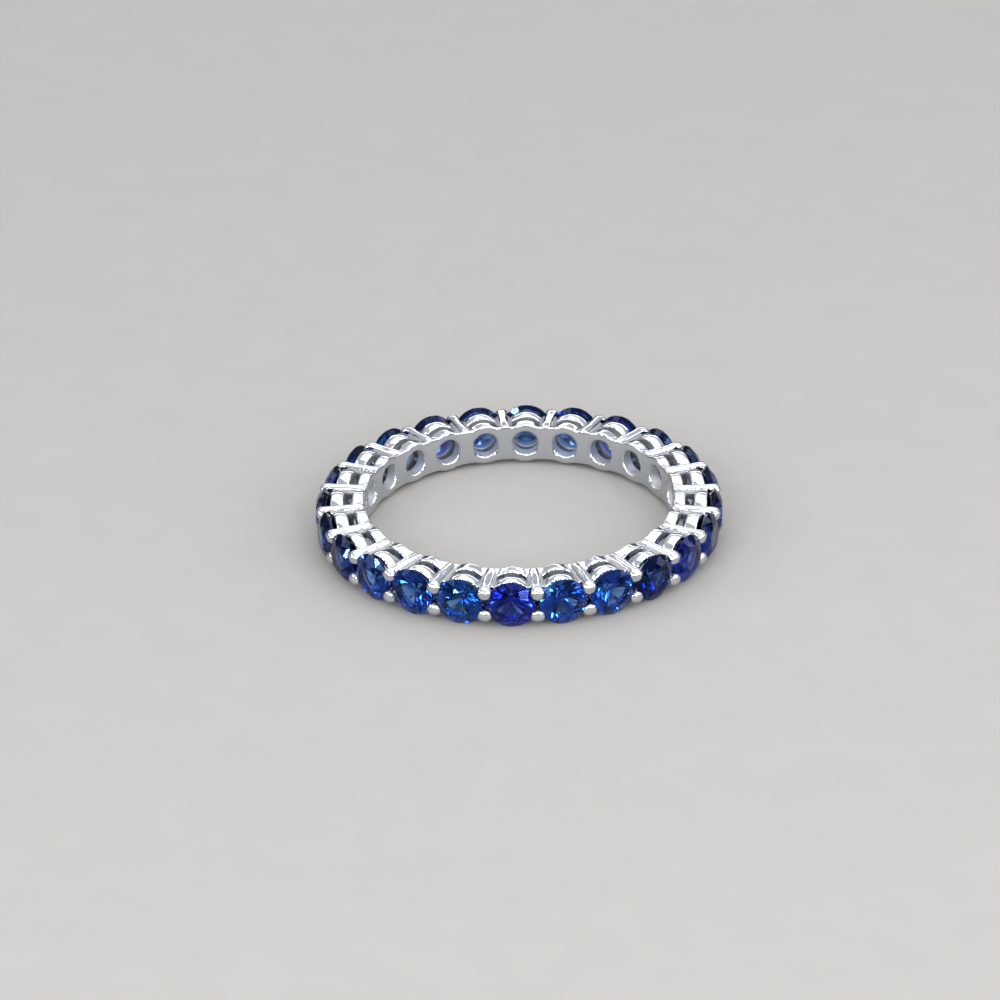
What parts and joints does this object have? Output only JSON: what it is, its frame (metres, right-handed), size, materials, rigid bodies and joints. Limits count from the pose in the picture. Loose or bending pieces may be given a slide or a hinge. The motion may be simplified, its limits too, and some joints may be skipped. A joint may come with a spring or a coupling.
{
  "type": "eternity ring",
  "caption": "Finger ring with round faceted stones set all the way round an open cast gallery between shared round-ended prongs.",
  "frame": {"origin": "on the ring's axis, at the height where the ring lies on a table", "axes": "+Z along the finger's axis and up as the ring lies, -Y towards a pair of prongs, with the middle of a stone half a pitch, 7.5 degrees, to each side of it"},
  "size_m": [0.0222, 0.0222, 0.0026],
  "materials": {
    "white_gold": "high polish, rhodium plated",
    "sapphire": "polished facets"
  },
  "bodies": {
    "root": {"setting": "white_gold", "sapphire_01": "sapphire", "sapphire_02": "sapphire", "sapphire_03": "sapphire", "sapphire_04": "sapphire", "sapphire_05": "sapphire", "sapphire_06": "sapphire", "sapphire_07": "sapphire", "sapphire_08": "sapphire", "sapphire_09": "sapphire", "sapphire_10": "sapphire", "sapphire_11": "sapphire", "sapphire_12": "sapphire", "sapphire_13": "sapphire", "sapphire_14": "sapphire", "sapphire_15": "sapphire", "sapphire_16": "sapphire", "sapphire_17": "sapphire", "sapphire_18": "sapphire", "sapphire_19": "sapphire", "sapphire_20": "sapphire", "sapphire_21": "sapphire", "sapphire_22": "sapphire", "sapphire_23": "sapphire", "sapphire_24": "sapphire"}
  },
  "joints": []
}
